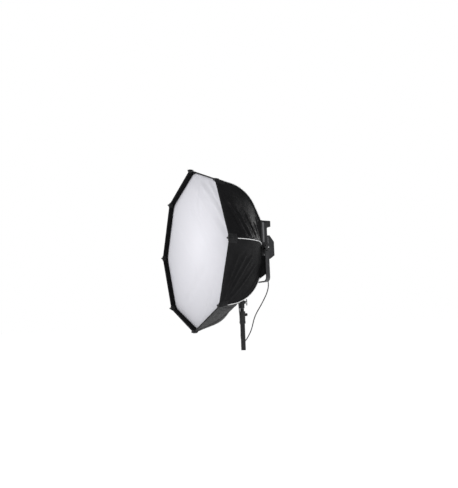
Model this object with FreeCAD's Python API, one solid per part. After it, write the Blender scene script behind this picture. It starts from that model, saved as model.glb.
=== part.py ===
import FreeCAD, Part
import math
import os

V = FreeCAD.Vector
os.makedirs("parts", exist_ok=True)

# Octagonal softbox on a rectangular LED panel light, carried by a U-yoke on the top of a stand column.
# +Z is up and the softbox faces -Y. The origin is the centre of the column's lower end.

# ---- driving dimensions, mm ----
TILT_Z = 725.0          # height of the tilt pivots
AXIS_Z = TILT_Z + 22.0  # height of the softbox and panel centre line
RIM_R = 600.0           # softbox rim, centre to corner
RIM_Y = -406.0          # front plane of the rim
HEM_T = 4.0             # thickness of the rim hem
# Where a rib bends: how far out, from frame (0) to rim (1), in which plane, and the radius of the bend.
SIDE_BEND = (0.844, -160.0, 320.0)      # ribs to the sides and slanting corners
UPRIGHT_BEND = (0.787, -112.0, 240.0)   # the longer ribs at top and bottom
SHELL_T = 2.4           # fabric with its reflective lining
RIB_R = 3.0             # radius of a rib rod
FRAME_HW, FRAME_HH = 350.0, 178.0   # softbox frame, half width and half height
FRAME_Y0, FRAME_Y1 = -17.0, -5.0    # softbox frame, front and rear faces
FRAME_RAIL = 26.0       # width of a frame rail
DIFFUSER_Y = -366.0     # front face of the diffuser, recessed behind the rim
PANEL_HW, PANEL_HH = 344.0, 168.0   # LED panel, half width and half height
PANEL_Y0, PANEL_Y1 = -4.0, 36.0     # LED panel, front and rear faces
SINK_HW, SINK_HH, SINK_Y1 = 300.0, 120.0, 64.0
REAR_HW = 240.0         # half width of the rear housing
REAR_Y1 = 158.0         # rear face of the rear housing
YOKE_IN = 384.0         # yoke, centre to the inner face of an arm
YOKE_T = 8.0            # thickness of the yoke bar
YOKE_W = 30.0           # width of the yoke bar
YOKE_DROP = 240.0       # tilt pivot down to the lower face of the crossbar
YOKE_TOP = 24.0         # arm above the pivot
YOKE_CORNER = 36.0      # outside radius of the yoke's lower corners
COLUMN_R, COLUMN_BORE_R, COLUMN_TOP = 17.5, 15.4, 205.0
MOUNT_R, MOUNT_LEN = 15.8, 75.0     # socket in the column's lower end
RISER_R, RISER_WALL = 15.0, 2.0
COLLAR_R, COLLAR_Z0, COLLAR_Z1 = 22.0, 195.0, 288.0
RECEIVER_R, RECEIVER_Z0 = 19.5, 311.0
SPIGOT_R = 8.0
CORD_R = 4.0
COIL_R = 48.0           # coil of spare cord, centre to mid-turn
COIL_TURNS = 6.5
COIL_X, COIL_Z = -168.0, TILT_Z - 300.0
COIL_Y1 = 42.0          # rear end of the coil

CORNERS = range(8)


def save(name, *solids):
    """Write one node as a STEP file, as a single solid or as a group of separate solids."""
    solids = list(solids)
    shape = solids[0] if len(solids) == 1 else Part.makeCompound(solids)
    shape.exportStep("parts/%s.step" % name)
    print("%-22s solids %2d volume %.0f valid %s" % (name, len(shape.Solids), shape.Volume, shape.isValid()))


def box(x0, x1, y0, y1, z0, z1):
    return Part.makeBox(x1 - x0, y1 - y0, z1 - z0, V(x0, y0, z0))


def cylinder(r, p, q):
    d = q - p
    return Part.makeCylinder(r, d.Length, p, d)


def cone(r0, r1, p, q):
    d = q - p
    return Part.makeCone(r0, r1, d.Length, p, d)


def fuse(first, *others):
    for other in others:
        first = first.fuse(other)
    return first.removeSplitter()


def cut(first, *others):
    for other in others:
        first = first.cut(other)
    return first


def prism(points, along):
    """Solid from a closed polygon of points, pulled along a vector."""
    return Part.Face(Part.makePolygon(points + [points[0]])).extrude(along)


def lerp(a, b, t):
    return a + (b - a) * t


def unit(a):
    return V(a).normalize()


def mirror_x(shape):
    return shape.mirror(V(0, 0, 0), V(1, 0, 0))


def corner_fillet(p, q, r, radius):
    """Tangent points and middle of the arc that rounds the corner q between p and r."""
    a, b = unit(p - q), unit(r - q)
    half = a.getAngle(b) / 2
    tangent = radius / math.tan(half)
    centre = q + unit(a + b) * (radius / math.sin(half))
    return q + a * tangent, centre - unit(a + b) * radius, q + b * tangent


def rounded_edges(points, radii):
    """Straight runs joined by tangent arcs, one radius for each inner point."""
    edges, start = [], points[0]
    for i, radius in enumerate(radii):
        t0, middle, t1 = corner_fillet(points[i], points[i + 1], points[i + 2], radius)
        edges.append(Part.LineSegment(start, t0).toShape())
        edges.append(Part.Arc(t0, middle, t1).toShape())
        start = t1
    edges.append(Part.LineSegment(start, points[-1]).toShape())
    return edges


def tube(edges, radius):
    """Round rod along a path of runs and arcs."""
    path = Part.Wire(edges)
    start = edges[0].Vertexes[0].Point
    direction = edges[0].tangentAt(edges[0].FirstParameter)
    section = Part.Wire(Part.makeCircle(radius, start, direction))
    return path.makePipeShell([section], True, False)


# ---- rib geometry: rim corner, bend and rear end of each rib, on the outside of the shell ----

def rear_end(k):
    side = (k % 4 != 0) * (1 if k < 4 else -1)
    up = {0: 1, 1: 1, 2: 0, 3: -1, 4: -1, 5: -1, 6: 0, 7: 1}[k]
    return V(side * FRAME_HW, FRAME_Y0 - 0.4, AXIS_Z + up * FRAME_HH)


def bend(k):
    return UPRIGHT_BEND if k % 4 == 0 else SIDE_BEND


def rib_points(k, y_front=RIM_Y + HEM_T + 1.3):
    """Rim, bend and rear points of rib k; rib 0 is the top one and they turn toward +X."""
    a = math.radians(45 * (k % 8))
    corner = V(RIM_R * math.sin(a), RIM_Y, AXIS_Z + RIM_R * math.cos(a))
    rear = rear_end(k % 8)
    ratio, plane, _ = bend(k)
    knee = lerp(rear, corner, ratio)
    knee.y = plane
    front = lerp(corner, knee, (y_front - corner.y) / (knee.y - corner.y))
    return front, knee, rear


def inward(k, points, depths):
    """Move the rib's three points into the softbox, square to the rib and in its own plane."""
    front, knee, rear = points
    out = (front - knee).cross(rear - knee)
    n0 = unit(out.cross(front - knee))
    n1 = unit(out.cross(knee - rear))
    if n0.dot(V(0, front.y, AXIS_Z) - front) < 0:
        n0, n1 = n0 * -1, n1 * -1
    miter = unit(n0 + n1)
    share = miter.dot(n0)
    return front + n0 * depths[0], knee + miter * (depths[1] / share), rear + n1 * depths[2]


def rib_section(k):
    """Edge of a gore at rib k: outer line, bend and line, then the same on the inside."""
    outer = rib_points(k)
    inner = inward(k, outer, (SHELL_T, SHELL_T, SHELL_T))
    radius = bend(k)[2]
    out_edges = rounded_edges(list(outer), [radius])
    in_edges = rounded_edges(list(inner)[::-1], [radius - SHELL_T])
    rear_cap = Part.LineSegment(outer[2], inner[2]).toShape()
    front_cap = Part.LineSegment(inner[0], outer[0]).toShape()
    return Part.Wire(out_edges + [rear_cap] + in_edges + [front_cap])


def gore(k):
    return Part.makeLoft([rib_section(k), rib_section(k + 1)], True, True)


def shell_octagon(y):
    """Corners of the shell's outer face on the plane y, ahead of the bends."""
    return [rib_points(k, y)[0] for k in CORNERS]


def inset_polygon(points, inset):
    """Convex polygon in a plane of constant y, with each side moved in by the inset."""
    count, lines = len(points), []
    centre = V(0, points[0].y, AXIS_Z)
    for i in range(count):
        a, b = points[i], points[(i + 1) % count]
        normal = unit((b - a).cross(V(0, 1, 0)))
        if normal.dot(centre - a) < 0:
            normal = normal * -1
        lines.append((a + normal * inset, unit(b - a)))
    result = []
    for i in range(count):
        (p, d), (q, e) = lines[i - 1], lines[i]
        det = d.x * -e.z + d.z * e.x
        t = ((q.x - p.x) * -e.z + (q.z - p.z) * e.x) / det
        result.append(p + d * t)
    return result


def clipped_corners(points, clip):
    """The same polygon with each corner cut off, to clear the ribs."""
    result = []
    for i, p in enumerate(points):
        result.append(p + unit(points[i - 1] - p) * clip)
        result.append(p + unit(points[(i + 1) % len(points)] - p) * clip)
    return result


def at_y(points, y):
    return [V(p.x, y, p.z) for p in points]


def polygon_plate(points, y0, y1):
    return prism(at_y(points, y0), V(0, y1 - y0, 0))


# ================= stand column and riser =================
column = cut(cylinder(COLUMN_R, V(0, 0, 0), V(0, 0, COLUMN_TOP)),
             cylinder(COLUMN_BORE_R, V(0, 0, -1), V(0, 0, COLUMN_TOP + 1)),
             cylinder(MOUNT_R, V(0, 0, -1), V(0, 0, MOUNT_LEN)))
save("column_tube", column)

knob_z = 262.0
collar = fuse(cylinder(COLLAR_R, V(0, 0, COLLAR_Z0), V(0, 0, COLLAR_Z1)),
              cylinder(COLLAR_R + 1.5, V(0, 0, COLLAR_Z0 + 6), V(0, 0, COLLAR_Z0 + 18)),
              cylinder(COLLAR_R + 1.5, V(0, 0, COLLAR_Z1 - 12), V(0, 0, COLLAR_Z1 - 2)),
              box(-9, 9, 12, 27, knob_z - 11, knob_z + 11))
collar = cut(collar,
             cylinder(COLUMN_R + 0.05, V(0, 0, COLLAR_Z0 - 1), V(0, 0, COLUMN_TOP + 0.1)),
             cylinder(RISER_R + 0.3, V(0, 0, COLLAR_Z0), V(0, 0, COLLAR_Z1 + 1)),
             cylinder(4.1, V(0, 14, knob_z), V(0, 28, knob_z)))
save("riser_collar", collar)

knob = fuse(cylinder(10, V(0, 29, knob_z), V(0, 40, knob_z)),
            *[cylinder(3.2, V(9 * math.cos(a), 29, knob_z + 9 * math.sin(a)),
                       V(9 * math.cos(a), 40, knob_z + 9 * math.sin(a)))
              for a in [math.radians(60 * i) for i in range(6)]],
            cylinder(4, V(0, 15.8, knob_z), V(0, 29.5, knob_z)))
save("collar_knob", knob)

riser = cut(cylinder(RISER_R, V(0, 0, 110), V(0, 0, RECEIVER_Z0 - 1)),
            cylinder(RISER_R - RISER_WALL, V(0, 0, 109), V(0, 0, RECEIVER_Z0 - 9)))
save("riser_tube", riser)
spigot = fuse(cylinder(SPIGOT_R, V(0, 0, RECEIVER_Z0 - 1), V(0, 0, RECEIVER_Z0 + 84)),
              cylinder(RISER_R + 2, V(0, 0, RECEIVER_Z0 - 1), V(0, 0, RECEIVER_Z0 - 0.3)))
groove_z = RECEIVER_Z0 + 44
spigot = cut(spigot, cut(cylinder(SPIGOT_R + 1, V(0, 0, groove_z - 8), V(0, 0, groove_z + 8)),
                         cylinder(SPIGOT_R - 1.5, V(0, 0, groove_z - 8), V(0, 0, groove_z + 8))))
save("riser_spigot", spigot)

# ================= yoke =================
yoke_z0 = TILT_Z - YOKE_DROP
receiver_top = yoke_z0
receiver = fuse(cylinder(RECEIVER_R, V(0, 0, RECEIVER_Z0), V(0, 0, receiver_top - 14)),
                cylinder(RECEIVER_R + 3.5, V(0, 0, receiver_top - 14), V(0, 0, receiver_top)),
                box(-10, 10, 8, 27, groove_z - 12, groove_z + 12))
receiver = cut(receiver,
               cylinder(SPIGOT_R + 0.3, V(0, 0, RECEIVER_Z0 - 1), V(0, 0, RECEIVER_Z0 + 90)),
               cylinder(5.1, V(0, 6, groove_z), V(0, 28, groove_z)),
               cylinder(6.0, V(0, 0, receiver_top - 40), V(0, 0, receiver_top + 1)))
save("yoke_receiver", receiver)

t_knob = fuse(cylinder(5, V(0, 7.6, groove_z), V(0, 30, groove_z)),
              cylinder(8, V(0, 29, groove_z), V(0, 38, groove_z)),
              cylinder(5, V(0, 42, groove_z - 24), V(0, 42, groove_z + 24)),
              cylinder(7, V(0, 34, groove_z), V(0, 44, groove_z)))
save("receiver_knob", t_knob)


def yoke_outline(offset):
    """Half-round-cornered U of the yoke bar, seen from the front."""
    x, z = YOKE_IN + YOKE_T - offset, yoke_z0 + offset
    radius = YOKE_CORNER - offset
    top = TILT_Z + YOKE_TOP
    points = [V(x, 0, top), V(x, 0, z), V(-x, 0, z), V(-x, 0, top)]
    return rounded_edges(points, [radius, radius])


outer, inner = yoke_outline(0), yoke_outline(YOKE_T)
ends = [Part.LineSegment(o, i).toShape() for o, i in
        [(outer[0].Vertexes[0].Point, inner[0].Vertexes[0].Point),
         (outer[-1].Vertexes[-1].Point, inner[-1].Vertexes[-1].Point)]]
yoke_face = Part.Face(Part.Wire(Part.__sortEdges__(outer + inner + ends)))
yoke = yoke_face.extrude(V(0, YOKE_W, 0))
yoke.translate(V(0, -YOKE_W / 2, 0))
# Round arm ends, a bolt hole in the middle and a pivot hole in each arm.
for s in (-1, 1):
    end = cut(box(s * 390 - 20, s * 390 + 20, -YOKE_W, YOKE_W, TILT_Z + YOKE_TOP - YOKE_W / 2, TILT_Z + YOKE_TOP + 1),
              cylinder(YOKE_W / 2, V(s * 390 - 21, 0, TILT_Z + YOKE_TOP - YOKE_W / 2),
                       V(s * 390 + 21, 0, TILT_Z + YOKE_TOP - YOKE_W / 2)))
    yoke = cut(yoke, end, cylinder(6.2, V(s * 380, 0, TILT_Z), V(s * 396, 0, TILT_Z)))
yoke = cut(yoke, cylinder(6.2, V(0, 0, yoke_z0 - 1), V(0, 0, yoke_z0 + YOKE_T + 1)))
# Two shallow grooves down the outer face of each arm.
for s in (-1, 1):
    x = s * (YOKE_IN + YOKE_T)
    for y in (-6, 6):
        yoke = cut(yoke, box(x - 1.2, x + 1.2, y - 2, y + 2, TILT_Z - 190, TILT_Z - 34))
save("yoke_bar", yoke)

bolt = fuse(cylinder(5.9, V(0, 0, receiver_top - 38), V(0, 0, yoke_z0 + YOKE_T)),
            prism([V(11 * math.cos(math.radians(60 * i)), 11 * math.sin(math.radians(60 * i)), yoke_z0 + YOKE_T)
                   for i in range(6)], V(0, 0, 7)))
save("yoke_bolt", bolt)

# Tilt lock knobs outside the arms, each with its stem through the arm.
def tilt_knob():
    x = YOKE_IN + YOKE_T
    lobes = [cylinder(6, V(x + 3, 20 * math.cos(a), TILT_Z + 20 * math.sin(a)),
                      V(x + 16, 20 * math.cos(a), TILT_Z + 20 * math.sin(a)))
             for a in [math.radians(45 * i) for i in range(8)]]
    return fuse(cylinder(21, V(x + 3, 0, TILT_Z), V(x + 16, 0, TILT_Z)), *lobes,
                cylinder(10, V(x + 0.4, 0, TILT_Z), V(x + 3.5, 0, TILT_Z)),
                cylinder(8, V(x + 15, 0, TILT_Z), V(x + 18, 0, TILT_Z)),
                cylinder(5.9, V(x - 26, 0, TILT_Z), V(x + 1, 0, TILT_Z)))


save("tilt_knob_right", tilt_knob())
save("tilt_knob_left", mirror_x(tilt_knob()))

# ================= LED panel light =================
def pivot_bracket():
    x = PANEL_HW
    plate = box(x, x + 6, 0, PANEL_Y1 - 3, TILT_Z - 42, TILT_Z + 42)
    boss = cylinder(14, V(x + 7.5, 0, TILT_Z), V(YOKE_IN - 0.8, 0, TILT_Z))
    web = box(x + 6, x + 16, -10, 26, TILT_Z - 26, TILT_Z + 26)
    web = cut(web, box(x + 5, x + 7.5, -11, 0, TILT_Z - 27, TILT_Z + 27))
    return cut(fuse(plate, web, boss), cylinder(6.0, V(YOKE_IN - 20, 0, TILT_Z), V(YOKE_IN, 0, TILT_Z)))


save("pivot_brackets", pivot_bracket(), mirror_x(pivot_bracket()))

housing = box(-PANEL_HW, PANEL_HW, PANEL_Y0, PANEL_Y1, AXIS_Z - PANEL_HH, AXIS_Z + PANEL_HH)
edges = [e for e in housing.Edges if abs(e.tangentAt(e.FirstParameter).y) > 0.9]
housing = housing.makeFillet(8, edges)
WALL = 5.0
housing = cut(housing, box(-PANEL_HW + WALL, PANEL_HW - WALL, PANEL_Y0 - 1, PANEL_Y1 - WALL,
                           AXIS_Z - PANEL_HH + WALL, AXIS_Z + PANEL_HH - WALL))
save("panel_housing", housing)
save("led_window", box(-PANEL_HW + WALL, PANEL_HW - WALL, PANEL_Y0 + 4, PANEL_Y0 + 8,
                       AXIS_Z - PANEL_HH + WALL, AXIS_Z + PANEL_HH - WALL))

# Angle brackets on the panel's top corners, with a leg down its rear face.
def top_bracket():
    x0, x1, top = PANEL_HW - 42, PANEL_HW - 2, AXIS_Z + FRAME_HH
    bar = box(x0, x1, PANEL_Y0 + 1, 68, AXIS_Z + PANEL_HH, top)
    leg = box(x0, x1, PANEL_Y1, 68, AXIS_Z + 134, top)
    bracket = fuse(bar, leg)
    edges = [e for e in bracket.Edges if abs(e.tangentAt(e.FirstParameter).x) > 0.9 and
             e.CenterOfMass.y > 60]
    return bracket.makeFillet(5, edges)


save("top_brackets", top_bracket(), mirror_x(top_bracket()))

sink = box(-SINK_HW, SINK_HW, PANEL_Y1, PANEL_Y1 + 6, AXIS_Z - SINK_HH, AXIS_Z + SINK_HH)
fin_count = 30
pitch = 2 * (SINK_HW - 3) / (fin_count - 1)
fins = [box(-SINK_HW + i * pitch, -SINK_HW + i * pitch + 4, PANEL_Y1 + 5, SINK_Y1, AXIS_Z - SINK_HH,
            AXIS_Z + SINK_HH) for i in range(fin_count)]
save("heat_sink", fuse(sink, *fins))

rear_profile = [(SINK_Y1, 112), (122, 112), (REAR_Y1, 66), (REAR_Y1, -36), (120, -62), (SINK_Y1, -62)]
rear = prism([V(-REAR_HW, y, TILT_Z + z) for y, z in rear_profile], V(2 * REAR_HW, 0, 0))
panel_z = TILT_Z + 15
hollow_profile = [(SINK_Y1 - 1, 107), (120, 107), (REAR_Y1 - 12, 61), (REAR_Y1 - 12, -32), (118, -57),
                  (SINK_Y1 - 1, -57)]
rear = cut(rear, prism([V(-REAR_HW + 4, y, TILT_Z + z) for y, z in hollow_profile], V(2 * REAR_HW - 8, 0, 0)),
           box(150, 210, REAR_Y1 - 8, REAR_Y1 + 1, panel_z - 20, panel_z + 20),
           box(-66, 66, REAR_Y1 - 2, REAR_Y1 + 1, panel_z - 24, panel_z + 26),
           cylinder(4.2, V(110, REAR_Y1 - 10, panel_z), V(110, REAR_Y1 + 1, panel_z)),
           *[cylinder(6.3, V(x, REAR_Y1 - 8, panel_z), V(x, REAR_Y1 + 1, panel_z)) for x in (-96, -124)])
save("rear_housing", rear)
save("display_window", box(-65, 65, REAR_Y1 - 2, REAR_Y1 - 0.5, panel_z - 23, panel_z + 25))

dimmer = fuse(cylinder(15, V(110, REAR_Y1 + 0.6, panel_z), V(110, REAR_Y1 + 14, panel_z)),
              cylinder(4, V(110, REAR_Y1 - 9.6, panel_z), V(110, REAR_Y1 + 1, panel_z)))
dimmer = cut(dimmer, *[cylinder(1.2, V(110 + 15.4 * math.cos(a), REAR_Y1 + 3, panel_z + 15.4 * math.sin(a)),
                                V(110 + 15.4 * math.cos(a), REAR_Y1 + 15, panel_z + 15.4 * math.sin(a)))
                       for a in [math.radians(20 * i) for i in range(18)]])
save("dimmer_knob", dimmer)
for i, x in enumerate((-96, -124)):
    save("menu_button_%d" % (i + 1), cylinder(6, V(x, REAR_Y1 - 4.5, panel_z), V(x, REAR_Y1 + 2.5, panel_z)))

# Power rocker in its well: a shallow V pivoting across its middle.
rocker = prism([V(153, REAR_Y1 - 3, panel_z - 15), V(153, REAR_Y1 + 1.5, panel_z - 16.5),
                V(153, REAR_Y1 - 0.5, panel_z), V(153, REAR_Y1 + 1.5, panel_z + 16.5),
                V(153, REAR_Y1 - 3, panel_z + 15)], V(54, 0, 0))
bezel = cut(box(144, 216, REAR_Y1, REAR_Y1 + 2, panel_z - 26, panel_z + 26),
            box(150, 210, REAR_Y1 - 1, REAR_Y1 + 3, panel_z - 20, panel_z + 20))
save("power_rocker", rocker)
save("rocker_bezel", bezel)

# Mains cord outlet: a gland under the rear housing and a tapered boot on it.
gland_p = V(190, 98, TILT_Z - 62)
gland = fuse(cylinder(10, gland_p, gland_p + V(0, 0, -10)),
             prism([gland_p + V(12.5 * math.cos(math.radians(60 * i)), 12.5 * math.sin(math.radians(60 * i)), -2)
                    for i in range(6)], V(0, 0, -5)))
save("cord_gland", gland)
boot_top, boot_end = gland_p + V(0, 0, -10), gland_p + V(0, 0, -48)
boot = fuse(cone(8.0, 5.2, boot_top, boot_end),
            *[cylinder(7.6 - 0.5 * i, boot_top + V(0, 0, -6.0 - 7 * i), boot_top + V(0, 0, -9.5 - 7 * i))
              for i in range(4)])
save("cord_boot", boot)

# ================= softbox =================
frame = cut(box(-FRAME_HW, FRAME_HW, FRAME_Y0, FRAME_Y1, AXIS_Z - FRAME_HH, AXIS_Z + FRAME_HH),
            box(-FRAME_HW + FRAME_RAIL, FRAME_HW - FRAME_RAIL, FRAME_Y0 - 1, FRAME_Y1 + 1,
                AXIS_Z - FRAME_HH + FRAME_RAIL, AXIS_Z + FRAME_HH - FRAME_RAIL))
save("softbox_frame", frame)

for k in CORNERS:
    save("shell_panel_%d" % (k + 1), gore(k))

RIB_IN = (8.5, 8.5, 14.0)     # rib centre below the shell at the rim, the bend and the frame
CORNER_SHIFT = 12.0           # corner ribs end further in, clear of the side panels


def rib_path(k):
    front, knee, rear = inward(k, rib_points(k, RIM_Y + HEM_T + 4.5), RIB_IN)
    if k % 2:
        rear = rear - V(math.copysign(CORNER_SHIFT, rear.x), 0, 0)
    return front, knee, rear


def rib(k):
    front, knee, rear = rib_path(k)
    stop = lerp(rear, knee, 3.0 / (knee - rear).Length)
    return tube(rounded_edges([front, knee, stop], [bend(k)[2] - 8]), RIB_R)


save("corner_ribs", *[rib(k) for k in (1, 3, 5, 7)])
save("side_ribs", rib(2), rib(6))
save("upright_ribs", rib(0), rib(4))


def rib_socket(k):
    """Short sleeve standing on the frame's front face, bored for the rib's rear end."""
    front, knee, rear = rib_path(k)
    d = unit(knee - rear)
    sleeve = cylinder(7.0, rear - d * 12, rear + d * 34)
    sleeve = cut(sleeve, box(-500, 500, FRAME_Y0, FRAME_Y0 + 60, AXIS_Z - 400, AXIS_Z + 400))
    foot = box(rear.x - 13, rear.x + 13, FRAME_Y0 - 4, FRAME_Y0, rear.z - 13, rear.z + 13)
    foot = foot.common(box(-FRAME_HW + 12, FRAME_HW - 12, -60, 0, AXIS_Z - FRAME_HH + 12, AXIS_Z + FRAME_HH - 12))
    return cut(fuse(sleeve, foot), cylinder(RIB_R + 0.1, rear + d * 2.5, rear + d * 40))


save("rib_sockets", *[rib_socket(k) for k in CORNERS])

rim = [V(RIM_R * math.sin(math.radians(45 * k)), RIM_Y, AXIS_Z + RIM_R * math.cos(math.radians(45 * k)))
       for k in CORNERS]
hem = cut(polygon_plate(rim, RIM_Y, RIM_Y + HEM_T), polygon_plate(inset_polygon(rim, 7), RIM_Y - 1, RIM_Y + HEM_T + 1))
save("front_hem", hem)

POCKET_L, POCKET_U = 57.0, 32.0     # corner pocket, length along the seam and half width


def front_run(k):
    """Ends of the straight run of rib k behind the rim."""
    points = rib_points(k)
    return points[0], corner_fillet(*points, bend(k)[2])[0]


def pocket_ring(k, length, lift):
    """Points over the seam of rib k, a length back from the rim, raised by the lift."""
    start, end = front_run(k)
    v = length / (end - start).Length

    def on_seam(j):
        return lerp(*front_run(j), v)
    here = on_seam(k)
    out = unit(here - V(0, here.y, AXIS_Z))
    share = POCKET_U / 459.0
    points = [lerp(here, on_seam(k - 1), share), here, lerp(here, on_seam(k + 1), share)]
    return [p + out * lift for p in points]


def corner_pocket(k):
    halves = []
    for i in (0, 1):
        rings = []
        for length in (0.0, POCKET_L):
            low, high = pocket_ring(k, length, 0.15), pocket_ring(k, length, 2.6)
            rings.append(Part.makePolygon([low[i], low[i + 1], high[i + 1], high[i], low[i]]))
        halves.append(Part.makeLoft(rings, True, True))
    return halves[0].fuse(halves[1])


save("corner_pockets", *[corner_pocket(k) for k in CORNERS])


def rib_tip(k):
    front, knee, _ = rib_path(k)
    d = unit(front - knee)
    base = front + d * ((RIM_Y - 0.2 - front.y) / d.y)
    nose = fuse(cylinder(7, base - d * 6, base + d * 8), Part.makeSphere(7, base + d * 8))
    return nose.common(box(-700, 700, RIM_Y - 40, RIM_Y, 0, AXIS_Z + 700))


save("rib_tips", *[rib_tip(k) for k in CORNERS])


def piping(k):
    """White cord sewn over the seam of rib k, from the corner pocket to the frame."""
    front, knee, rear = inward(k, rib_points(k), (-2.6, -2.6, -2.6))
    start = front + unit(knee - front) * (POCKET_L + 6)
    stop = lerp(rear, knee, 0.015)
    return tube(rounded_edges([start, knee, stop], [bend(k)[2] + 2]), 2.4)


save("seam_piping", *[piping(k) for k in CORNERS])

seat = inset_polygon(shell_octagon(DIFFUSER_Y + 4), SHELL_T + 1.2)
diffuser_edge = clipped_corners(seat, 26)
save("diffuser_panel", polygon_plate(diffuser_edge, DIFFUSER_Y, DIFFUSER_Y + 2.5))
band = cut(polygon_plate(diffuser_edge, DIFFUSER_Y + 2.5, DIFFUSER_Y + 4),
           polygon_plate(inset_polygon(seat, 24), DIFFUSER_Y + 2, DIFFUSER_Y + 5))
save("diffuser_hook_band", band)
ledge_edge = inset_polygon(shell_octagon(DIFFUSER_Y + 6.4), SHELL_T + 1.2)
ledge = cut(polygon_plate(clipped_corners(ledge_edge, 26), DIFFUSER_Y + 4.4, DIFFUSER_Y + 6.2),
            polygon_plate(inset_polygon(ledge_edge, 24), DIFFUSER_Y + 4, DIFFUSER_Y + 7))
save("shell_loop_ledge", ledge)

# ================= mains cord =================
# Route below the boot, as offsets from the tilt pivots' centre: down behind the near arm, slanting
# in to the column, round behind it and back up to the coil that hangs from the crossbar.
CORD_ROUTE = [
    (190, 98, -110.3), (190, 98, -138), (185, 113, -176), (169, 138, -218), (149, 150, -266), (128, 144, -314),
    (106, 128, -361), (86, 110, -405), (66, 90, -447), (46, 78, -488), (28, 74, -531), (11, 70, -574),
    (-6, 60, -610), (-22, 50, -638), (-42, 43, -660), (-66, 41, -673), (-92, 44, -674), (-115, 49, -660),
    (-129, 53, -636), (-132, 56, -604), (-129, 55, -556), (-124, 50, -502), (-121, 44, -448), (-120, 40, -396),
    (-121, 38, -350), (-120, 38, -312)]
route = [V(x, y, TILT_Z + z) for x, y, z in CORD_ROUTE]
radii = []
for p, q, r in zip(route, route[1:], route[2:]):
    turn = math.pi - (p - q).getAngle(r - q)
    radii.append(0.45 * min((p - q).Length, (r - q).Length) / math.tan(turn / 2))
print("cord radii", [round(r) for r in radii])
path = rounded_edges(route, radii)
cord = tube(path, CORD_R)
cord_length = sum(e.Length for e in path)
print("cord tube length %.1f volume ratio %.4f" % (cord_length, cord.Volume / (math.pi * CORD_R ** 2 * cord_length)))
save("mains_cord", cord)

coil_len = (COIL_TURNS + 1) * 2 * CORD_R
coil_y0 = COIL_Y1 - coil_len
coil = cut(cylinder(COIL_R + CORD_R, V(COIL_X, COIL_Y1, COIL_Z), V(COIL_X, coil_y0, COIL_Z)),
           cylinder(COIL_R - CORD_R, V(COIL_X, COIL_Y1 + 1, COIL_Z), V(COIL_X, coil_y0 - 1, COIL_Z)))
save("cord_coil", coil)

# Strap that hangs the coil from the crossbar: round the bar and through the coil.
coil_top = COIL_Z + COIL_R + CORD_R
coil_under = COIL_Z + COIL_R - CORD_R
bar_top = yoke_z0 + YOKE_T
y0, y1 = coil_y0 - 1.0, COIL_Y1 + 1.0
strap = cut(box(COIL_X - 9, COIL_X + 9, y0 - 2, y1 + 2, coil_under - 3.2, bar_top + 2.6),
            box(COIL_X - 10, COIL_X + 10, y0, y1, coil_under - 1.2, bar_top + 0.4))
save("coil_strap", strap)

plug_x, plug_y = COIL_X - COIL_R, coil_y0 + CORD_R
plug_z = COIL_Z - 22
plug = fuse(cone(6, 10, V(plug_x, plug_y, plug_z), V(plug_x, plug_y, plug_z - 18)),
            box(plug_x - 13, plug_x + 13, plug_y - 9, plug_y + 9, plug_z - 46, plug_z - 18),
            *[cylinder(2.0, V(plug_x + s, plug_y, plug_z - 45), V(plug_x + s, plug_y, plug_z - 64))
              for s in (-7, 7)])
save("mains_plug", plug)
print("total cord", round(cord_length + COIL_TURNS * 2 * math.pi * COIL_R + 22))
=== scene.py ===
import math
from itertools import product

import bpy
import numpy as np
from mathutils import Matrix, Vector


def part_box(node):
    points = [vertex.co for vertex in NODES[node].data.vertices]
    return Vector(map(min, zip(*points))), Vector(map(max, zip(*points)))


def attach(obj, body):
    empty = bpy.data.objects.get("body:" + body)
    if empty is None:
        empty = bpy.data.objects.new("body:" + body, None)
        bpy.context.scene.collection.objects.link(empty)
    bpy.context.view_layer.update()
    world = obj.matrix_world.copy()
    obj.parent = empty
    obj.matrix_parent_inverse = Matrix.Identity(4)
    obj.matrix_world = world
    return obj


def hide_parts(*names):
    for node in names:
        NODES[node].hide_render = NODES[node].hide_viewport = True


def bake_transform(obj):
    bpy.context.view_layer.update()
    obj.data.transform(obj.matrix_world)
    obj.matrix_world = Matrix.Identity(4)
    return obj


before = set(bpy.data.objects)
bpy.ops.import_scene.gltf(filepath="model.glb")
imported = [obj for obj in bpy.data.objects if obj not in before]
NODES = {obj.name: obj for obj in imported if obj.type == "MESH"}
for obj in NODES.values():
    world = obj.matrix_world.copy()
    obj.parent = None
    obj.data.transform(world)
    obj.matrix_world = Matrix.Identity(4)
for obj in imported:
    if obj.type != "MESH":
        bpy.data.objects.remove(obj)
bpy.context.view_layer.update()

# ---------------------------------------------------------------- camera
TILT = (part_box("pivot_brackets")[0].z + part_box("pivot_brackets")[1].z) / 2
PIVOT = Vector((0, 0, TILT))
CAMERA_TURN = (62.08, -7.72, -1.98)     # azimuth, elevation and roll, in degrees
CAMERA_AIM = Vector((0, -0.0924, 0.07335))     # from the tilt pivots
CAMERA_LENS, CAMERA_DISTANCE = 37.06, 3.8215     # in mm and m


def camera():
    az, el, roll = (math.radians(d) for d in CAMERA_TURN)
    back = Vector((math.sin(az) * math.cos(el), -math.cos(az) * math.cos(el), math.sin(el)))
    right = (-back).cross(Vector((0, 0, 1))).normalized()
    up = right.cross(-back)
    c, s = math.cos(roll), math.sin(roll)
    right, up = right * c + up * s, up * c - right * s
    data = bpy.data.cameras.new("camera")
    data.sensor_width, data.lens = 36.0, CAMERA_LENS
    data.clip_start, data.clip_end = 0.05, 200
    cam = bpy.data.objects.new("camera", data)
    bpy.context.scene.collection.objects.link(cam)
    m = Matrix((right, up, back)).transposed().to_4x4()
    m.translation = PIVOT + CAMERA_AIM + back * CAMERA_DISTANCE
    cam.matrix_world = m
    bpy.context.scene.camera = cam


camera()


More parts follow.
